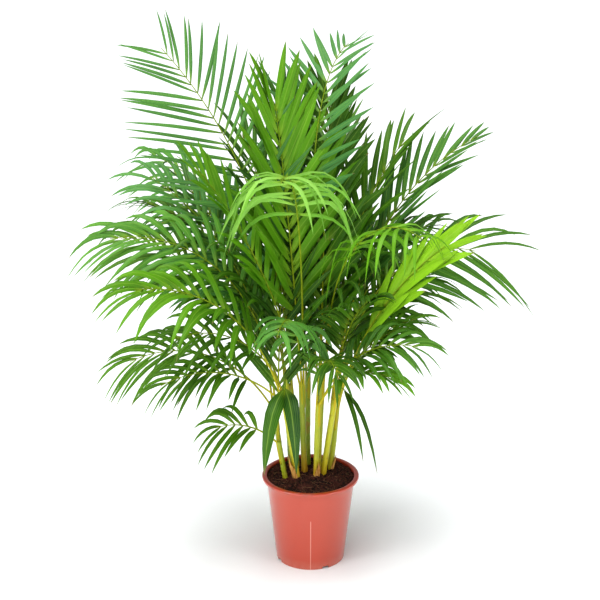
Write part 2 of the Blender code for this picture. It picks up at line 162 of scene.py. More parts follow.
class Finish:
    """One material. Constants go on its shader's sockets, and set() joins what varies."""

    def __init__(self, name, **constants):
        self.material = bpy.data.materials.new(name)
        self.material.use_nodes = True
        self.tree = self.material.node_tree
        self.shader = self.tree.nodes["Principled BSDF"]
        for socket, constant in constants.items():
            label = socket.replace("_", " ").title().replace("Ior", "IOR")
            self.shader.inputs[label].default_value = constant
        self.object_place = self.node("ShaderNodeTexCoord", out="Object")

    def node(self, kind, settings=None, inputs=None, out=0):
        """Adds a node: its settings first, then its inputs. Returns one of its outputs."""
        made = self.tree.nodes.new(kind)
        for name, setting in (settings or {}).items():
            setattr(made, name, setting)
        for name, given in (inputs or {}).items():
            if isinstance(given, Value):
                self.tree.links.new(given.socket, made.inputs[name])
            elif given is not None:
                made.inputs[name].default_value = given
        return Value(self, made.outputs[out])

    def noise(self, scale, detail=3.0, stretch=(1, 1, 1)):
        inputs = {"Vector": self.object_place, "Scale": stretch}
        stretched = self.node("ShaderNodeMapping", None, inputs)
        inputs = {"Vector": stretched, "Scale": scale, "Detail": detail}
        return self.node("ShaderNodeTexNoise", None, inputs)

    def mix(self, factor, first, second):
        """A colour between two colours. Each is a value or three numbers."""
        first, second = (c if isinstance(c, Value) else (*c, 1) for c in (first, second))
        inputs = {0: factor, 6: first, 7: second}
        return self.node("ShaderNodeMix", {"data_type": "RGBA"}, inputs, 2)

    def parts(self, vector):
        """The X, Y and Z of a vector."""
        return [self.node("ShaderNodeSeparateXYZ", None, {0: vector}, k) for k in range(3)]

    def attribute(self, name):
        return self.node("ShaderNodeAttribute", {"attribute_name": name}, None, "Vector")

    def set(self, **values):
        for name, value in values.items():
            self.tree.links.new(value.socket, self.shader.inputs[name.replace("_", " ").title()])
        return self

    def bump(self, height, distance, strength=1.0):
        inputs = {"Height": height, "Distance": distance, "Strength": strength}
        return self.set(normal=self.node("ShaderNodeBump", None, inputs))


print("finish tools are ready")

# %% [markdown]
# ## White sweep
# The floor is one wide flat sheet of matte white. It is bright enough to read as white paper, and
# only the contact shadow round the pot stays grey. It isn't part of the plant.

# %% Floor and sky
SKY_STRENGTH = 0.34


def add_floor(half=30):
    bm = bmesh.new()
    bmesh.ops.create_grid(bm, x_segments=8, y_segments=8, size=half)
    mesh = bpy.data.meshes.new("floor")
    bm.to_mesh(mesh)
    bm.free()
    floor = bpy.data.objects.new("floor", mesh)
    bpy.context.scene.collection.objects.link(floor)
    paper = Finish("white_sweep", base_color=(0.91, 0.93, 0.94, 1), roughness=0.9)
    paper.bump(paper.noise(40), 0.0004, 0.2)
    mesh.materials.append(paper.material)


def light_sky(colour, strength):
    world = bpy.data.worlds.new("sky")
    bpy.context.scene.world = world
    world.use_nodes = True
    sky = world.node_tree.nodes["Background"]
    sky.inputs["Color"].default_value = (*colour, 1)
    sky.inputs["Strength"].default_value = strength


add_floor()
light_sky((1.0, 1.0, 1.0), SKY_STRENGTH)
bpy.context.scene.view_settings.view_transform = "Standard"
bpy.context.scene.view_settings.look = "Medium High Contrast"
print("floor and sky are placed")

# %% [markdown]
# ## Shared making tools
# Most of a palm is a tube of some kind. A cane is a straight tube, a leaf stalk is a tube that
# arches and thins, and even a leaflet is a tube that is pressed flat, with four sides and sharp
# margins. So one helper rolls a flat grid into a tube. A function says where each corner goes.

# %% Rolled grids
def roll(bm, sides, rows, place):
    """Rolls a grid into a tube. place(side, row) gives a point. Returns the corners by row."""
    made = bmesh.ops.create_grid(bm, x_segments=sides, y_segments=rows, size=1)["verts"]
    for index, corner in enumerate(made):
        corner.co = place(index % (sides + 1) % sides, index // (sides + 1))
    return made


def close_tubes(bm):
    """Joins each grid's seam, fills its ends, and turns every face outward."""
    bmesh.ops.remove_doubles(bm, verts=bm.verts, dist=1e-7)
    bmesh.ops.holes_fill(bm, edges=bm.edges, sides=0)
    bmesh.ops.recalc_face_normals(bm, faces=bm.faces)


def finish_piece(bm, name, finish, replaced=(), sharp=None):
    """Makes the object at the origin, gives it its finish, and lets it ride on the plant."""
    for face in bm.faces:
        face.smooth = True
    mesh = bpy.data.meshes.new(name)
    bm.to_mesh(mesh)
    bm.free()
    if sharp:
        mesh.set_sharp_from_angle(angle=math.radians(sharp))
    mesh.materials.append(finish.material)
    piece = bpy.data.objects.new(name, mesh)
    bpy.context.scene.collection.objects.link(piece)
    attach(piece, "root")
    if replaced:
        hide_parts(*replaced)
    return piece


print("tube tools are ready")

# %% [markdown]
# ## Pot
# The pot is injection moulded: a thin tapered wall, a rolled rim that turns outward, and a foot
# ring with small gaps that let water out. A wall like this is one outline turned about the axis.
# The gaps and the drain holes are cut afterwards, because a turned shape can't have them.

# %% Pot sizes
POT_HEIGHT = 0.222
RIM_R = 0.120
MOUTH_R = 0.110
FOOT_R = 0.085
WALL = 0.0022
LIP = 0.009
FLOOR_LIFT = 0.008
DISC_R = 0.045
NOTCH_HEADINGS = (26, 116, 206, 296)
NOTCH_SIZE = (0.030, 0.017, 0.013)
DRAIN_HOLES = 6
DRAIN_R = 0.005
DRAIN_DEPTH = 0.02
DRAIN_SIDES = 24
DRAIN_CIRCLE_R = 0.062
POT_STEPS = 144
RIM_STEPS = 12
RIM_RISE = 0.0035  # the rim's top is half an ellipse of this height
SHARP = 35  # edges that turn by more than this many degrees stay crisp


def wall_radius(z):
    """Outside radius of the wall at a height."""
    return FOOT_R + (MOUTH_R - FOOT_R) * z / (POT_HEIGHT - LIP)


# %% Pot shape
def pot_outline():
    """The wall's cut face as (radius, height), down the inside and up the outside."""
    lip = POT_HEIGHT - LIP
    inner = FLOOR_LIFT + WALL
    throat = wall_radius(lip) - WALL
    foot = [(0, WALL), (DISC_R - 0.003, WALL), (DISC_R, inner)]
    foot.append((wall_radius(inner) - WALL - 0.002, inner))
    inside = [(wall_radius(inner + 0.002) - WALL, inner + 0.002), (throat, lip - 0.002)]
    middle, half = (RIM_R + throat) / 2, (RIM_R - throat) / 2
    rim = []
    for step in range(RIM_STEPS + 1):
        turn = math.pi * step / RIM_STEPS
        height = POT_HEIGHT - RIM_RISE + RIM_RISE * math.sin(turn)
        rim.append((middle - half * math.cos(turn), height))
    curl = [(RIM_R, lip + 0.0022), (RIM_R - 0.0008, lip + 0.0006), (RIM_R - 0.0022, lip)]
    under = [(wall_radius(lip) + 0.0016, lip + 0.0002), (wall_radius(lip) + 0.0003, lip - 0.0014)]
    outside = [(wall_radius(0.19), 0.19), (wall_radius(0.1), 0.1), (wall_radius(0.004), 0.004)]
    ring = [(FOOT_R, 0.0008), (FOOT_R - 0.0006, 0), (FOOT_R - WALL, 0), (FOOT_R - WALL, FLOOR_LIFT)]
    base = [(DISC_R + 0.003, FLOOR_LIFT), (DISC_R, 0), (0, 0)]
    return foot + inside + rim + curl + under + outside + ring + base


def turned(outline, steps):
    bm = bmesh.new()
    corners = [bm.verts.new((r, 0, z)) for r, z in outline]
    for first, second in zip(corners, corners[1:]):
        bm.edges.new((first, second))
    bmesh.ops.spin(
        bm,
        geom=bm.verts[:] + bm.edges[:],
        cent=(0, 0, 0),
        axis=UP,
        angle=2 * math.pi,
        steps=steps,
        use_merge=True,
    )
    bmesh.ops.remove_doubles(bm, verts=bm.verts, dist=1e-6)
    bmesh.ops.recalc_face_normals(bm, faces=bm.faces)
    return bm


def pot_cutter():
    """Blocks at the foot's gaps and pins at the drain holes."""
    bm = bmesh.new()
    for heading in NOTCH_HEADINGS:
        turn = Matrix.Rotation(math.radians(heading), 4, "Z")
        shape = turn @ Matrix.Translation((FOOT_R, 0, 0)) @ Matrix.Diagonal((*NOTCH_SIZE, 1))
        bmesh.ops.create_cube(bm, size=1, matrix=shape)
    for hole in range(DRAIN_HOLES):
        turn = Matrix.Rotation(2 * math.pi * hole / DRAIN_HOLES, 4, "Z")
        place = turn @ Matrix.Translation((DRAIN_CIRCLE_R, 0, FLOOR_LIFT))
        bmesh.ops.create_cone(
            bm,
            cap_ends=True,
            segments=DRAIN_SIDES,
            radius1=DRAIN_R,
            radius2=DRAIN_R,
            depth=DRAIN_DEPTH,
            matrix=place,
        )
    return bm


def cut(bm, cutter):
    """The first shape less the second, as a new bmesh."""
    made = []
    for shape in (bm, cutter):
        mesh = bpy.data.meshes.new("cut")
        shape.to_mesh(mesh)
        shape.free()
        obj = bpy.data.objects.new("cut", mesh)
        bpy.context.scene.collection.objects.link(obj)
        made.append(obj)
    body, tool = made
    modifier = body.modifiers.new("cut", "BOOLEAN")
    modifier.operation = "DIFFERENCE"
    modifier.solver = "EXACT"
    modifier.object = tool
    bpy.context.view_layer.update()
    result = bmesh.new()
    result.from_object(body, bpy.context.evaluated_depsgraph_get())
    for obj in made:
        bpy.data.objects.remove(obj)
    return result


# %% Pot plastic
HIGHLIGHT_LINE_HALF = 0.0006  # the painted highlight line's half width, before it fades out
HIGHLIGHT_LINE_FADE = 0.0011
HIGHLIGHT_LINE_TOP = (0.143, 0.137)


def pot_plastic():
    """Brick-red polypropylene: glossy, dusty low down, with a pale painted highlight line up its
    front.
    """
    plastic = Finish("pot_plastic", coat_weight=1.0, coat_roughness=0.05, coat_ior=1.5)
    sideways, forward, height = plastic.parts(plastic.object_place)
    flow = plastic.noise(9, 4, (1, 1, 0.35))
    speck = plastic.noise(900, 2)
    dust = height.step(0.03, 0.0) * plastic.noise(60, 4)
    rim = height.step(0.20, 0.216) * plastic.noise(70, 5).step(0.52, 0.72)
    colour = plastic.mix(flow, (0.40, 0.038, 0.012), (0.48, 0.052, 0.017))
    colour = plastic.mix(dust * 0.5, colour, (0.55, 0.26, 0.18))
    colour = plastic.mix(rim * 0.35, colour, (0.16, 0.055, 0.03))
    # A pale stripe up the front is a painted highlight that stands in for a reflection.
    painted_highlight_line = abs(sideways).step(HIGHLIGHT_LINE_FADE, HIGHLIGHT_LINE_HALF) * forward.step(0.0, -0.01)
    painted_highlight_line = painted_highlight_line * height.step(*HIGHLIGHT_LINE_TOP)
    colour = plastic.mix(painted_highlight_line * 0.45, colour, (0.80, 0.50, 0.42))
    plastic.set(base_color=colour, roughness=0.26 + 0.12 * flow + 0.3 * dust + 0.25 * rim)
    return plastic.bump(speck + 2 * flow, 0.0002, 0.25)


pot = cut(turned(pot_outline(), POT_STEPS), pot_cutter())
pot = finish_piece(pot, "moulded_pot", pot_plastic(), ["pot"], SHARP)
print("pot:", len(pot.data.polygons), "faces")

# %% [markdown]
# ## Soil
# Potting peat is dark and clumpy, with paler root hairs and chips of bark. The bulk is one turned
# block with its top pushed up and down by noise. Loose crumbs, fibres and chips lie on it. They are
# small and many, so each is as simple as it can be: a crumb has twenty faces.

# %% Soil shape
SOIL_EDGE_Z = 0.2150
SOIL_CROWN = 0.010
SOIL_GAP = 0.0004  # between the peat and the pot
SOIL_RINGS = 44
SOIL_STEPS = 150
CRUMBS = 900
CHIPS = 60
HAIRS = 130


def soil_height(x, y):
    r = math.hypot(x, y)
    share = min(1, r / (MOUTH_R - 0.02))
    crown = SOIL_EDGE_Z + SOIL_CROWN * 0.5 * (1 + math.cos(math.pi * share))
    lump = noise.noise(Vector((x, y, 0)) * 45) * 0.0045
    lump += noise.noise(Vector((x, y, 3)) * 130) * 0.0022
    return crown + lump + noise.noise(Vector((x, y, 7)) * 420) * 0.0010


def soil_bulk():
    edge = wall_radius(SOIL_EDGE_Z) - WALL - SOIL_GAP
    top = [(edge * k / SOIL_RINGS, SOIL_EDGE_Z) for k in range(SOIL_RINGS + 1)]
    inner = FLOOR_LIFT + WALL + SOIL_GAP
    lower = [(wall_radius(inner) - WALL - 0.003, inner), (DISC_R - 0.001, inner)]
    lower += [(DISC_R - 0.004, WALL + 0.0006), (0, WALL + 0.0006)]
    bm = turned(top + lower, SOIL_STEPS)
    for corner in bm.verts:
        if corner.co.z > SOIL_EDGE_Z - 1e-5:
            corner.co.z = soil_height(corner.co.x, corner.co.y)
    return bm


def strewn(random_source, reach):
    """A random place on the soil, more often toward the edge, where crumbs show."""
    r = reach * math.sqrt(random_source.uniform(0.02, 1))
    way = random_source.uniform(0, 2 * math.pi)
    x, y = r * math.cos(way), r * math.sin(way)
    return Vector((x, y, soil_height(x, y)))


def any_turn(random_source):
    first, second, third = (random_source.uniform(0, 2 * math.pi) for _ in range(3))
    turned_twice = Matrix.Rotation(first, 4, "Z") @ Matrix.Rotation(second, 4, "X")
    return turned_twice @ Matrix.Rotation(third, 4, "Y")


def soil_bits():
    """Crumbs and bark chips, lying on the peat."""
    chance = random.Random("peat")
    bm = bmesh.new()
    reach = wall_radius(SOIL_EDGE_Z) - WALL - 0.005
    for _ in range(CRUMBS):
        size = chance.uniform(0.0010, 0.0042)
        width, depth = chance.uniform(0.6, 1), chance.uniform(0.5, 0.9)
        shape = Matrix.Diagonal((size, size * width, size * depth, 1))
        place = Matrix.Translation(strewn(chance, reach)) @ any_turn(chance) @ shape
        bmesh.ops.create_icosphere(bm, subdivisions=1, radius=1, matrix=place)
    for _ in range(CHIPS):
        shape = Matrix.Diagonal((chance.uniform(0.004, 0.009), 0.003, 0.0012, 1))
        place = Matrix.Translation(strewn(chance, reach)) @ any_turn(chance) @ shape
        bmesh.ops.create_cube(bm, size=1, matrix=place)
    return bm


def root_hairs():
    chance = random.Random("roots")
    bm = bmesh.new()
    reach = wall_radius(SOIL_EDGE_Z) - WALL - 0.010
    for _ in range(HAIRS):
        start = strewn(chance, reach) + UP * 0.0008
        way = direction(chance.uniform(0, 360), chance.uniform(70, 95))
        bend = direction(chance.uniform(0, 360), 90) * 0.4
        length = chance.uniform(0.008, 0.022)
        thick = chance.uniform(0.00018, 0.0004)
        square = way.to_track_quat("Z", "X").to_matrix()

        def place(side, row):
            share = row / 4
            turn = math.pi * 2 / 3 * side
            ring = Vector((math.cos(turn), math.sin(turn), 0)) * thick
            return start + way * length * share + bend * length * share**2 + square @ ring

        roll(bm, 3, 4, place)
    close_tubes(bm)
    return bm


# %% Soil finishes
def peat():
    """Damp dark peat: red-brown clods, with painted shade that makes the hollows nearly black."""
    soil = Finish("peat", specular_ior_level=0.25)
    clod = soil.noise(170, 6)
    patch = soil.noise(28, 3)
    # The noise that raises the clods also darkens the hollows nearly to black: painted shade.
    colour = soil.mix(clod.step(0.36, 0.66), (0.012, 0.005, 0.004), (0.095, 0.032, 0.022))
    colour = soil.mix(patch.step(0.45, 0.7) * 0.6, colour, (0.11, 0.034, 0.024))
    soil.set(base_color=colour, roughness=0.84 + 0.12 * clod)
    return soil.bump(clod + 0.5 * soil.noise(700, 3), 0.0016, 0.9)


def root_hair():
    hair = Finish("root_hair", specular_ior_level=0.3)
    shade = hair.noise(120, 3)
    colour = hair.mix(shade, (0.20, 0.095, 0.05), (0.42, 0.26, 0.15))
    hair.set(base_color=colour, roughness=0.7 + 0.2 * shade)
    return hair.bump(shade, 0.0002, 0.5)


peat_finish = peat()
bulk = finish_piece(soil_bulk(), "peat_bulk", peat_finish, ["soil"])
bits = finish_piece(soil_bits(), "peat_crumbs", peat_finish)
hairs = finish_piece(root_hairs(), "root_hairs", root_hair())
print("soil:", sum(len(piece.data.polygons) for piece in (bulk, bits, hairs)), "faces")

# %% [markdown]
# ## The plant's plan
# An areca palm is a clump. Each cane carries a few fronds, and each frond is a stalk that leans out
# and arches over, with two rows of leaflets. The tables give every cane and frond: where it
# stands, which way it heads, how far it leans at the cane and at its tip, and how long it is.
# The last columns are for looks: how many pairs of leaflets, how wide they are, and their tone,
# which also carries painted shade and a painted sheen.

# %% Canes and fronds
class Cane(NamedTuple):
    foot: tuple
    heading: float
    lean: float
    length: float
    radius: float
    tone: tuple = (0.5, 0.1)  # how yellow, and how orange


class Frond(NamedTuple):
    cane: str
    seat: float  # where it stands on the cane's end, as a heading from the cane's axis
    heading: float
    lean: float  # at the cane
    arch: float  # lean at the tip
    length: float
    habit: str = "arching"
    bend: float = 1.3  # above 1, the arch is mostly near the tip
    roll: float = 0.0  # how far the blade is turned about its spine
    leaflet: float = 0.25  # the longest leaflet
    bare: float = 0.34  # share of the length that is stalk
    pairs: int = 14
    width: float = 0.015  # of the widest leaflet
    light: float = 0.0  # -1 is the dark green of an old leaf, with painted shade on fronds deep in the clump; 1 the pale green of a new one; above 1 a painted pale sheen
    painted_blue_sheen: float = 0.0  # 1 is a painted blue-green sheen


class Habit(NamedTuple):
    spread: tuple  # degrees from the spine, first and last leaflets
    rise: float  # degrees up from the blade
    droop: float  # fall of the tip, as a share of the leaflet's length
    share: tuple  # of the longest leaflet's length, for the first and last


HABITS = {
    "feather": Habit((60, 30), 14, 0.12, (0.75, 0.45)),
    "upright": Habit((40, 16), 20, 0.20, (0.85, 0.60)),
    "arching": Habit((48, 18), 24, 0.48, (0.80, 0.55)),
    "weeping": Habit((82, 55), 8, 0.80, (0.90, 0.65)),
    "young": Habit((20, 8), 8, 0.15, (0.95, 0.70)),
    "fan": Habit((50, 26), 10, 0.36, (0.85, 0.85)),
    "closed": Habit((32, 14), 16, 0.08, (0.95, 0.30)),
    "strap": Habit((5, 5), 2, 0.60, (1.0, 1.0)),
    "seedling": Habit((16, 14), 4, 0.75, (1.0, 1.0)),
}

CANES = {
    "a": Cane((-0.066, 0.030), 180, 8, 0.17, 0.0062, (0.5, 0.0)),
    "b": Cane((-0.034, -0.018), 190, 8, 0.20, 0.0082, (0.9, 0.2)),
    "c": Cane((-0.034, 0.050), 170, 4, 0.22, 0.0064, (0.3, 0.0)),
    "d": Cane((-0.014, 0.010), 200, 2, 0.24, 0.0070, (0.5, 0.6)),
    "e": Cane((-0.006, 0.062), 90, 3, 0.24, 0.0064, (0.3, 0.0)),
    "f": Cane((0.014, -0.014), 300, 3, 0.20, 0.0066, (0.7, 0.5)),
    "g": Cane((0.020, 0.036), 0, 2, 0.23, 0.0064, (0.6, 0.1)),
    "h": Cane((0.030, 0.002), 355, 8, 0.20, 0.0072, (1.0, 0.1)),
    "i": Cane((0.040, 0.068), 10, 6, 0.21, 0.0064, (0.5, 0.0)),
    "j": Cane((0.020, 0.088), 80, 5, 0.20, 0.0062, (0.4, 0.0)),
    "k": Cane((-0.050, 0.078), 130, 7, 0.18, 0.0062, (0.2, 0.0)),
    "l": Cane((0.050, 0.034), 10, 5, 0.17, 0.0064, (0.6, 0.1)),
    "m": Cane((-0.062, -0.014), 200, 10, 0.10, 0.0058, (0.5, 0.0)),
}

# A low tone paints shade on fronds deep in the clump, and a tone above 1 or a blue-green paints a
# sheen.
FRONDS = (
    Frond("a", 35, 165, 5, 60, 0.67, roll=-55, light=0.2, painted_blue_sheen=0.9),
    Frond("a", 305, 187, 3, 99, 0.67, bend=1.5, roll=-45, pairs=16, light=0.4, painted_blue_sheen=0.4),
    Frond("a", 220, 197, 30, 112, 0.42, roll=-40, leaflet=0.19, pairs=12, width=0.012),
    Frond("a", 125, 140, 8, 60, 0.66, light=-0.4, painted_blue_sheen=0.3),
    Frond("b", 170, 212, 16, 88, 0.56, roll=-30, width=0.018, light=0.4),
    Frond("b", 80, 198, 14, 108, 0.38, roll=-35, leaflet=0.18, pairs=10, width=0.012, light=-0.2),
    Frond("b", 350, 268, 12, 125, 0.20, "seedling", leaflet=0.16, bare=0.85, pairs=1,
          width=0.038, light=-0.7),
    Frond("b", 260, 208, 42, 110, 0.36, roll=-30, leaflet=0.16, pairs=9, width=0.012, light=-0.1),
    Frond("c", 315, 155, 4, 48, 0.90, "feather", roll=-60, leaflet=0.26, bare=0.42, pairs=22,
          width=0.010, painted_blue_sheen=0.7),
    Frond("c", 75, 125, 4, 40, 0.64, "upright", bare=0.22, pairs=16, light=-0.4, painted_blue_sheen=0.2),
    Frond("c", 195, 168, 10, 75, 0.60, bare=0.24, pairs=16, light=-0.1),
    Frond("d", 0, 262, 6, 100, 0.76, "weeping", bend=2.6, leaflet=0.21, bare=0.62, pairs=12,
          width=0.015, light=1.4, painted_blue_sheen=0.2),
    Frond("d", 180, 205, 14, 38, 0.62, "upright", roll=-40, leaflet=0.20, width=0.018, light=0.8),
    Frond("d", 262, 254, 8, 130, 0.34, "weeping", bend=2.0, leaflet=0.12, pairs=9, width=0.018,
          light=0.6, painted_blue_sheen=0.6),
    Frond("d", 90, 125, 7, 12, 0.68, "upright", leaflet=0.31, bare=0.26, pairs=18, width=0.026,
          light=0.8),
    Frond("e", 160, 115, 4, 22, 0.68, "upright", bare=0.26, pairs=16, width=0.020, light=-0.4,
          painted_blue_sheen=0.3),
    Frond("e", 40, 60, 1, 78, 0.86, "feather", bend=5.0, leaflet=0.19, bare=0.5, width=0.013,
          pairs=18, painted_blue_sheen=1.0),
    Frond("e", 290, 355, 10, 70, 0.50, bare=0.2, pairs=16, light=-0.6),
    Frond("f", 20, 335, 22, 95, 0.33, roll=40, leaflet=0.17, pairs=10, width=0.012, light=0.0,
          painted_blue_sheen=0.2),
    Frond("f", 200, 282, 10, 112, 0.30, leaflet=0.16, bare=0.3, pairs=11, width=0.014, light=-0.5),
    Frond("f", 290, 325, 28, 110, 0.26, leaflet=0.13, pairs=7, width=0.019, light=0.7),
    Frond("g", 120, 82, 4, 18, 0.70, "upright", bare=0.24, pairs=16, width=0.024, light=-0.4),
    Frond("g", 30, 35, 5, 45, 0.64, "upright", bare=0.24, width=0.018, light=-0.2),
    Frond("g", 300, 310, 5, 112, 0.64, "weeping", bend=2.2, leaflet=0.15, bare=0.55, pairs=11,
          width=0.013, light=1.0),
    Frond("h", 15, 338, 18, 50, 0.50, "young", roll=50, leaflet=0.21, bare=0.40, pairs=9,
          width=0.026, light=0.8),
    Frond("h", 105, 300, 7, 55, 0.36, leaflet=0.18, light=-0.4),
    Frond("h", 285, 292, 12, 115, 0.10, "strap", leaflet=0.18, bare=0.85, pairs=1, width=0.011,
          light=-0.5),
    Frond("i", 200, 12, 10, 66, 0.74, "closed", bend=1.8, roll=35, leaflet=0.19, bare=0.32,
          pairs=18, width=0.014, light=-0.2, painted_blue_sheen=0.4),
    Frond("i", 80, 45, 14, 76, 0.46, roll=30, bare=0.2, light=-0.4),
    Frond("i", 320, 5, 14, 108, 0.54, "fan", bend=2.0, roll=75, leaflet=0.23, bare=0.50,
          pairs=11, width=0.012, light=-0.1, painted_blue_sheen=0.2),
    Frond("j", 255, 80, 6, 50, 0.70, "upright", bare=0.24, light=-0.3),
    Frond("j", 130, 112, 12, 75, 0.66, bare=0.18, pairs=18, light=-0.2),
    Frond("j", 20, 55, 14, 85, 0.52, roll=30, bare=0.2, light=-0.1),
    Frond("k", 320, 140, 6, 85, 0.78, roll=-45, light=0.3, painted_blue_sheen=0.7),
    Frond("k", 190, 165, 18, 88, 0.60, roll=-40, light=-0.2),
    Frond("k", 90, 100, 16, 80, 0.62, bare=0.18, pairs=18, light=-0.2),
    Frond("l", 10, 5, 10, 80, 0.31, roll=30, leaflet=0.16, pairs=9, width=0.012, light=0.1),
    Frond("l", 100, 40, 14, 84, 0.44, roll=20, light=-0.1),
    Frond("l", 280, 345, 12, 66, 0.28, roll=25, leaflet=0.14, pairs=9, width=0.012, light=0.0),
    Frond("m", 200, 204, 44, 100, 0.18, roll=-45, leaflet=0.14, bare=0.35, pairs=6, width=0.012,
          light=0.2),
    Frond("m", 110, 82, 4, 40, 0.48, "upright", bend=2.0, bare=0.24, width=0.016, light=-0.5),
)
print("plan:", len(CANES), "canes and", len(FRONDS), "fronds")

# %% [markdown]
# ## Canes
# A cane is a stem like a thin bamboo. Each old leaf leaves a ring where it was joined. The upper
# part is wrapped in the sheaths of the living leaves, so it is a little thicker and smoother.
# It is a rolled grid whose radius swells at the foot and at each ring.

# %% Cane shape
CANE_SOIL_Z = 0.216
CANE_BURIED = 0.014
CANE_SIDES = 18
CANE_ROWS = 46
CANE_RIDGE = 0.02  # its section is off round by this share
CANE_BOW = 0.0016
CANE_OVER = 1.02  # it is drawn this share of its length, to close in the stalks' feet
RING_RISE = 0.0008
RING_HALF = 0.0012
SHEATH_SHARE = 0.42  # the wrapped part starts here
SHEATH_THICK = 0.0006
CLOSE_SHARE = 0.93  # the end draws in from here
CLOSE_BY = 0.45
FOOT_SWELL = 0.22
CANE_TAPER = 0.08


def cane_end(cane):
    return Vector((*cane.foot, CANE_SOIL_Z)) + direction(cane.heading, cane.lean) * cane.length


def cane_radius(cane, height, rings):
    """Radius at a height above the soil: swollen at the foot, ridged at each ring."""
    share = max(0.0, height / cane.length)
    size = cane.radius * (1 + FOOT_SWELL * math.exp(-share * 9) - CANE_TAPER * share)
    for ring in rings:
        size += RING_RISE * math.exp(-(((height - ring) / RING_HALF) ** 2))
    if share > SHEATH_SHARE:
        size += SHEATH_THICK * min(1, (share - SHEATH_SHARE) * 40)
    if share > CLOSE_SHARE:
        size *= 1 - CLOSE_BY * ((share - CLOSE_SHARE) / 0.09) ** 2
    return size


def cane_shape(name, cane):
    chance = random.Random("cane " + name)
    axis = direction(cane.heading, cane.lean)
    square = axis.to_track_quat("Z", "X").to_matrix()
    foot = Vector((*cane.foot, CANE_SOIL_Z))
    rings = []
    height = chance.uniform(0.008, 0.016)
    while height < cane.length * SHEATH_SHARE:
        rings.append(height)
        height += chance.uniform(0.016, 0.030)
    span = cane.length * CANE_OVER + CANE_BURIED
    bow = direction(chance.uniform(0, 360), 90) * CANE_BOW
    ridge_turn = chance.uniform(0, 6)

    def place(side, row):
        height = span * row / CANE_ROWS - CANE_BURIED
        turn = 2 * math.pi * side / CANE_SIDES
        ridge = 1 + CANE_RIDGE * math.sin(turn * 3 + ridge_turn)
        radius = cane_radius(cane, height, rings)
        ring = Vector((math.cos(turn), math.sin(turn), 0)) * radius * ridge
        return foot + axis * height + bow * math.sin(math.pi * row / CANE_ROWS) + square @ ring

    bm = bmesh.new()
    tone = bm.verts.layers.float_vector.new("tone")
    corners = roll(bm, CANE_SIDES, CANE_ROWS, place)
    for index, corner in enumerate(corners):
        share = index // (CANE_SIDES + 1) / CANE_ROWS
        corner[tone] = (*cane.tone, share)
    close_tubes(bm)
    return bm


# %% [markdown]
# ## Skin of the stems
# A young stem is waxy. Its colour runs from orange-yellow at the soil through yellow-green to leaf
# green, with fine pale streaks along it. The streaks are noise that is stretched upward, since the
# canes stand nearly upright. The tone of each cane comes from its own attribute.

# %% Stem finish
def stem_colour(finish, yellow, orange, share, streak):
    """Green to yellow to orange, paler along the streaks."""
    colour = finish.mix(yellow, (0.075, 0.20, 0.006), (0.48, 0.48, 0.010))
    low = share.step(0.45, 0.0)
    colour = finish.mix(orange * low + 0.35 * low * yellow, colour, (0.62, 0.25, 0.015))
    return finish.mix(streak * 0.22, colour, (0.62, 0.64, 0.12))


def cane_skin():
    skin = Finish("cane", coat_weight=0.12, coat_roughness=0.3)
    yellow, orange, share = skin.parts(skin.attribute("tone"))
    streak = skin.noise(260, 3, (1, 1, 0.05)).step(0.48, 0.72)
    blotch = skin.noise(38, 4)
    colour = stem_colour(skin, yellow + 0.4 * blotch - 0.2, orange, share, streak)
    colour = skin.mix(blotch.step(0.60, 0.72) * 0.6, colour, (0.30, 0.13, 0.02))
    scar = skin.noise(95, 5, (1, 1, 1.6)).step(0.64, 0.70) * share.step(0.5, 0.2)
    colour = skin.mix(scar * 0.7, colour, (0.16, 0.09, 0.03))
    skin.set(base_color=colour, roughness=0.36 + 0.16 * blotch + 0.2 * scar)
    return skin.bump(streak + scar, 0.0004, 0.5)


cane_finish = cane_skin()
for name, cane in CANES.items():
    shape = cane_shape(name, cane)
    made = finish_piece(shape, f"ringed_cane_{name}", cane_finish, [f"cane_{name}"])
print("canes:", len(CANES), "of", len(made.data.polygons), "faces each")

# %% [markdown]
# ## Fronds
# The stalk and its spine are one arching tube. It starts as a sheath on the cane, narrows to a
# stalk with a shallow channel on top, and thins to the tip. Leaflets stand along it in two rows.
# A leaflet is a tube of four sides that is pressed flat: margin, midrib, margin and underside.
# It is folded most at its base, is widest a third of the way along, and bends under its own weight.

# %% Along a frond
PETIOLE_W = 0.0056
TIP_SHARE = 0.30
SEAT_R = 0.0050
SEAT_RISE = 0.7  # a leaning stalk's foot is raised by this share of its width
SEAT_GAP = 0.0003
SPINE_STEPS = 60


class Place(NamedTuple):
    point: Vector
    along: Vector
    side: Vector
    up: Vector


def heading_at(frond, share):
    lean = frond.lean + (frond.arch - frond.lean) * share**frond.bend
    return direction(frond.heading, lean)


def seat(frond):
    """Where a stalk stands on its cane's end."""
    cane = CANES[frond.cane]
    axis = direction(cane.heading, cane.lean)
    out = direction(frond.seat, 90) * SEAT_R
    out -= axis * out.dot(axis)
    dip = PETIOLE_W * SEAT_RISE * axis.cross(direction(frond.heading, frond.lean)).length
    return cane_end(cane) + out + axis * (dip + SEAT_GAP)


def spine(frond):
    points = [seat(frond)]
    for i in range(SPINE_STEPS):
        step = heading_at(frond, (i + 0.5) / SPINE_STEPS) * frond.length / SPINE_STEPS
        points.append(points[-1] + step)
    return points


def place_at(frond, points, share):
    """Where the spine is at a share of its length, and how the blade lies there."""
    at = share * SPINE_STEPS
    low = min(int(at), SPINE_STEPS - 1)
    along = heading_at(frond, share)
    way = math.radians(frond.heading)
    side = Vector((-math.sin(way), math.cos(way), 0))
    roll_by = math.radians(frond.roll) * min(1, share / frond.bare)
    side = Matrix.Rotation(roll_by, 3, along) @ side
    return Place(points[low].lerp(points[low + 1], at - low), along, side, along.cross(side))


def width_at(share):
    return PETIOLE_W * (1 - (1 - TIP_SHARE) * share)


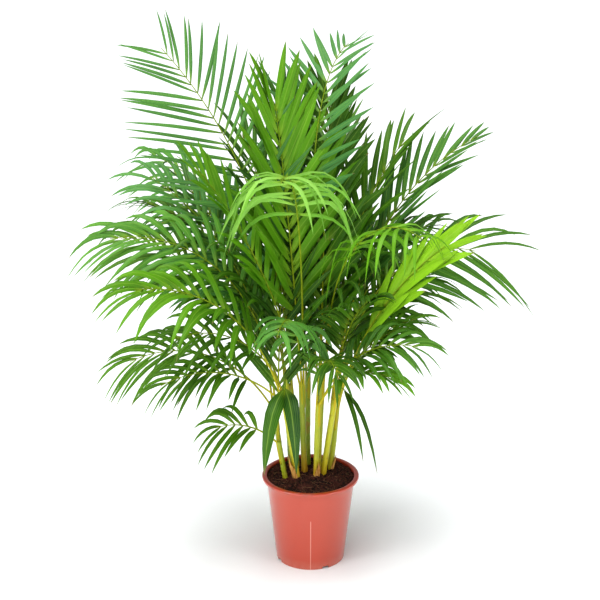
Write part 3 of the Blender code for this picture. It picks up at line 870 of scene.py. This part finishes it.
# %% Stalk and spine
STALK_SIDES = 8
STALK_ROWS = 30
CHANNEL = 0.72  # depth left under the channel along the stalk's top
SHEATH_ROWS = 5
SHEATH_DEPTH = 0.062  # how far down the cane a leaf's sheath reaches
SHEATH_TUCK = 0.0015  # how far it draws in toward the cane's axis


def stalk_path(frond, points):
    """(place, radius, share) along the stalk, from its sheath on the cane to the frond's tip."""
    cane = CANES[frond.cane]
    axis = direction(cane.heading, cane.lean)
    first = place_at(frond, points, 0)
    out = first.point - cane_end(cane)
    out = (out - axis * out.dot(axis)).normalized()
    path = []
    for row in range(SHEATH_ROWS):
        rest = 1 - row / SHEATH_ROWS
        point = first.point - axis * SHEATH_DEPTH * rest - out * SHEATH_TUCK * rest
        radius = 0.0023 + 0.0026 * rest**0.6 * (1 - 0.5 * rest**4)
        path.append((Place(point, axis, first.side, first.up), radius, 0.0))
    for row in range(STALK_ROWS + 1):
        share = row / STALK_ROWS
        path.append((place_at(frond, points, share), width_at(share) / 2, share))
    return path


def add_stalk(bm, frond, points, layers):
    path = stalk_path(frond, points)

    def place(side, row):
        where, radius, share = path[row]
        turn = 2 * math.pi * side / STALK_SIDES
        channel = CHANNEL if side == 2 and share < frond.bare else 1.0
        ring = where.side * math.cos(turn) + where.up * math.sin(turn) * channel
        return where.point + ring * radius

    corners = roll(bm, STALK_SIDES, len(path) - 1, place)
    colour_and_painted_light, at = layers
    for index, corner in enumerate(corners):
        share = path[index // (STALK_SIDES + 1)][2]
        corner[at] = (0, share, 1)
        corner[colour_and_painted_light] = (CANES[frond.cane].tone[0] * (1 - share) ** 2, frond.painted_blue_sheen, 0)


# %% One leaflet
LEAF_OUTLINE = (  # (share of the length, share of the width)
    (0, 0.30),
    (0.06, 0.52),
    (0.16, 0.84),
    (0.30, 1.0),
    (0.50, 0.98),
    (0.68, 0.84),
    (0.84, 0.56),
    (0.95, 0.22),
    (1, 0.03),
)
LEAF_SIDES = 4
LEAF_THICK = 0.0005
LONGEST_AT = 0.35  # share of the leafy length at which the leaflets are longest
LAST_AT = 0.995  # no leaflet stands beyond this share of the frond


class Leaflet(NamedTuple):
    base: Vector
    way: Vector
    up: Vector
    ahead: Vector
    length: float
    width: float
    droop: float
    twist: float
    fold: float


def leaflet_frame(leaf, share):
    """The leaflet's middle at a share of its length, the direction across it and its upper side."""
    power = 2 + leaf.droop
    run = leaf.way * (1 - 0.3 * leaf.droop * share) + leaf.ahead * 0.10 * share
    point = leaf.base + leaf.length * (run * share - UP * leaf.droop * share**power)
    tangent = leaf.way * (1 - 0.6 * leaf.droop * share) + leaf.ahead * 0.20 * share
    tangent = (tangent - UP * power * leaf.droop * share ** (power - 1)).normalized()
    level = leaf.way.cross(UP)
    level = level.normalized() if level.length > 1e-3 else leaf.ahead.cross(UP).normalized()
    start = leaf.way.cross(leaf.up).normalized()
    over = leaf.way.cross(level)
    turn = math.atan2(start.dot(over), start.dot(level)) + leaf.twist * share
    across = level * math.cos(turn) + tangent.cross(level) * math.sin(turn)
    across = (across - tangent * across.dot(tangent)).normalized()
    return point, across, across.cross(tangent)


def add_leaflet(bm, leaf, layers, tone):
    frames = [leaflet_frame(leaf, share) for share, _ in LEAF_OUTLINE]

    def place(side, row):
        share, part = LEAF_OUTLINE[row]
        point, across, up = frames[row]
        half = leaf.width * part / 2
        fold = leaf.fold * (1 + 3 * (1 - share) ** 4)
        if side % 2:
            return point + up * LEAF_THICK * (0.5 if side == 1 else -0.5)
        return point + across * half * (side - 1) - up * half * fold

    colour_and_painted_light, at = layers
    for index, corner in enumerate(roll(bm, LEAF_SIDES, len(LEAF_OUTLINE) - 1, place)):
        row, side = divmod(index, LEAF_SIDES + 1)
        side %= LEAF_SIDES
        corner[at] = (side - 1 if side % 2 == 0 else 0, LEAF_OUTLINE[row][0], 0)
        corner[colour_and_painted_light] = tone


# %% One frond
def leaflet_length(frond, share):
    """Longest a third of the way along, shorter toward both ends."""
    first, last = HABITS[frond.habit].share
    if share < LONGEST_AT:
        part = first + (1 - first) * math.sin(math.pi / 2 * share / LONGEST_AT)
    else:
        part = 1 - (1 - last) * ((share - LONGEST_AT) / (1 - LONGEST_AT)) ** 1.5
    return frond.leaflet * part


def leaflet_of(frond, points, order, sign, chance):
    habit = HABITS[frond.habit]
    share = order / max(1, frond.pairs - 1)
    row = order + 0.25 + chance.uniform(-0.2, 0.2)
    at = frond.bare + (1 - frond.bare) * row / frond.pairs
    place = place_at(frond, points, min(at, LAST_AT))
    first, last = habit.spread
    spread = math.radians(first + (last - first) * share**2 + chance.uniform(-7, 7))
    rise = math.radians(habit.rise + chance.uniform(-14, 14))
    out = place.side * sign * math.cos(rise) + place.up * math.sin(rise)
    way = (place.along * math.cos(spread) + out * math.sin(spread)).normalized()
    base = place.point + place.side * sign * width_at(at) * 0.3
    facing = place.up * math.cos(rise) - place.side * sign * math.sin(rise)
    slim = 1 - 0.35 * share**3
    return Leaflet(
        base=base,
        way=way,
        up=facing,
        ahead=place.along,
        length=leaflet_length(frond, share) * chance.uniform(0.93, 1.03),
        width=frond.width * slim * chance.uniform(0.9, 1.1),
        droop=habit.droop * chance.uniform(0.75, 1.2),
        twist=sign * chance.uniform(-0.5, 0.5),
        fold=chance.uniform(0.18, 0.34),
    )


def frond_shape(name, frond):
    chance = random.Random(name)
    bm = bmesh.new()
    layers = (bm.verts.layers.float_vector.new("colour_and_painted_light"), bm.verts.layers.float_vector.new("at"))
    points = spine(frond)
    add_stalk(bm, frond, points, layers)
    for order in range(frond.pairs):
        for sign in (1, -1):
            leaf = leaflet_of(frond, points, order, sign, chance)
            light = frond.light + chance.uniform(-0.25, 0.25)
            tone = (light, frond.painted_blue_sheen, max(0, chance.uniform(-1.2, 1)))
            add_leaflet(bm, leaf, layers, tone)
    close_tubes(bm)
    at = layers[1]
    for edge in bm.edges:
        edge.smooth = not all(abs(corner[at][0]) > 0.5 for corner in edge.verts)
    return bm


# %% [markdown]
# ## Leaf skin
# Seen close, a leaflet has a paler midrib, fine ribs along its length and a satin skin. Its green
# changes from leaf to leaf, partly with the leaf's age and partly as painted shade on fronds deep
# in the clump and a painted pale or blue-green sheen on others. Its tip dries to a thin brown
# point, and the stalk is yellower than the blade. The position along and across each leaflet comes
# from the piece's own attribute, so the ribs follow every bend.

# %% Leaf finish
def leaf_skin(name, tint):
    skin = Finish(name, coat_weight=0.05, coat_roughness=0.25, specular_ior_level=0.2)
    across, along, stalk = skin.parts(skin.attribute("at"))
    light, painted_blue_sheen, dry = skin.parts(skin.attribute("colour_and_painted_light"))
    patch = skin.noise(14, 4)
    ribs = (across * 26 + 2 * patch).sine() * 0.5 + 0.5
    midrib = abs(across).step(0.16, 0.02)
    # Low values darken toward near black: partly an old leaf's own tone, partly painted shade deep
    # in the clump.
    green = skin.mix(light * 0.5 + 0.5 + 0.5 * (patch - 0.5), (0.004, 0.035, 0.003), tint)
    # Values above 1 turn pale green: a painted sheen.
    green = skin.mix(light.step(0.9, 1.9), green, (0.30, 0.58, 0.10))
    # The blue-green mix is a painted sheen.
    green = skin.mix(painted_blue_sheen * 0.55, green, (0.10, 0.30, 0.13))
    green = skin.mix(ribs * 0.16, green, (0.20, 0.40, 0.05))
    green = skin.mix(midrib * 0.28, green, (0.34, 0.50, 0.08))
    green = skin.mix(along.step(0.22, 0.0) * 0.35, green, (0.36, 0.48, 0.04))
    tip = along.step(0.93, 0.99) * dry.step(0.1, 0.6)
    green = skin.mix(tip * 0.9, green, (0.24, 0.17, 0.08))
    streak = skin.noise(320, 2, (1, 1, 0.06)).step(0.45, 0.7)
    stem = stem_colour(skin, 0.25 + 0.75 * light, 0.0, along, streak)
    colour = skin.mix(stalk, green, stem)
    skin.set(base_color=colour, roughness=0.42 + 0.14 * patch + 0.3 * tip)
    return skin.bump(ribs * 0.6 + midrib * (1 - stalk), 0.00025, 0.6)


LEAF_FINISHES = {
    "leaf": leaf_skin("leaf", (0.11, 0.30, 0.005)),
    "young_leaf": leaf_skin("young_leaf", (0.27, 0.53, 0.018)),
}
count = {}
leaflets = 0
for frond in FRONDS:
    count[frond.cane] = count.get(frond.cane, 0) + 1
    node = f"cane_{frond.cane}_frond_{count[frond.cane]}"
    slot = "young_leaf" if frond.habit == "young" else "leaf"
    finish_piece(frond_shape(node, frond), "leafy_" + node, LEAF_FINISHES[slot], [node])
    leaflets += 2 * frond.pairs
print("fronds:", len(FRONDS), "with", leaflets, "leaflets")

# %% [markdown]
# ## Dry sheaths
# At the foot of some canes an old leaf base has dried to an orange-brown scale. It clasps the cane,
# stands off a little at its top, and ends in a ragged point. A grid is bent round the cane, its top
# row is cut into points, and a Solidify modifier gives it its paper thickness.

# %% Sheath shape and finish
SHEATHS = {  # cane: (side it stands on, width round the cane in degrees, height)
    "b": (215, 150, 0.070),
    "f": (300, 130, 0.052),
    "l": (330, 120, 0.045),
}
SHEATH_COLUMNS = 14
SHEATH_LEVELS = 12
SHEATH_SHELL = 0.0007
SHEATH_FIT = 1.24  # its radius at the foot, as a share of the cane's
SHEATH_FLARE = 0.0035  # how far its top stands off
SHEATH_WAVE = 0.0006


def sheath_shape(name):
    side, width, height = SHEATHS[name]
    cane = CANES[name]
    chance = random.Random("sheath " + name)
    axis = direction(cane.heading, cane.lean)
    aim = axis.to_track_quat("Z", "X").to_matrix()
    local = aim.inverted() @ direction(side, 90)
    middle = math.atan2(local.y, local.x)
    foot = Vector((*cane.foot, CANE_SOIL_Z)) + axis * 0.002
    ragged = [chance.uniform(0.72, 1.0) for _ in range(SHEATH_COLUMNS + 1)]
    bm = bmesh.new()
    tone = bm.verts.layers.float_vector.new("tone")
    columns, levels = SHEATH_COLUMNS, SHEATH_LEVELS
    made = bmesh.ops.create_grid(bm, x_segments=columns, y_segments=levels, size=1)["verts"]
    for index, corner in enumerate(made):
        level, column = divmod(index, columns + 1)
        from_middle = column / columns * 2 - 1
        share = level / levels
        top = (1 - 0.55 * abs(from_middle) ** 1.6) * ragged[column] * height
        around = middle + math.radians(width) / 2 * from_middle * (1 - 0.45 * share**2)
        wave = SHEATH_WAVE * math.sin(column * 2.1 + share * 3)
        radius = cane.radius * SHEATH_FIT + SHEATH_FLARE * share**2 + wave
        ring = Vector((math.cos(around) * radius, math.sin(around) * radius, top * share))
        corner.co = foot + aim @ ring
        corner[tone] = (from_middle, share, 0)
    return bm


def sheath_skin():
    """Dry leaf base: orange-brown, fibrous, and nearly black where it rots at the soil."""
    skin = Finish("dry_sheath", specular_ior_level=0.3)
    across, share, _ = skin.parts(skin.attribute("tone"))
    fibre = skin.noise(420, 3, (1, 1, 0.04))
    colour = skin.mix(fibre.step(0.35, 0.7), (0.42, 0.17, 0.03), (0.78, 0.50, 0.16))
    colour = skin.mix(share.step(0.22, 0.0) * 0.8, colour, (0.12, 0.05, 0.02))
    colour = skin.mix(share.step(0.80, 1.0) * 0.7, colour, (0.26, 0.12, 0.04))
    skin.set(base_color=colour, roughness=0.62 + 0.2 * fibre)
    return skin.bump(fibre, 0.0006, 0.8)


sheath_finish = sheath_skin()
for name in SHEATHS:
    shape = sheath_shape(name)
    node = f"dry_sheath_{name}"
    made = finish_piece(shape, f"ragged_sheath_{name}", sheath_finish, [node])
    shell = made.modifiers.new("thickness", "SOLIDIFY")
    shell.thickness = SHEATH_SHELL
    shell.offset = 0
print("sheaths:", len(SHEATHS))

# %% [markdown]
# The dressed plant has to fill the same space as the measured one.


print("all pieces are dressed")
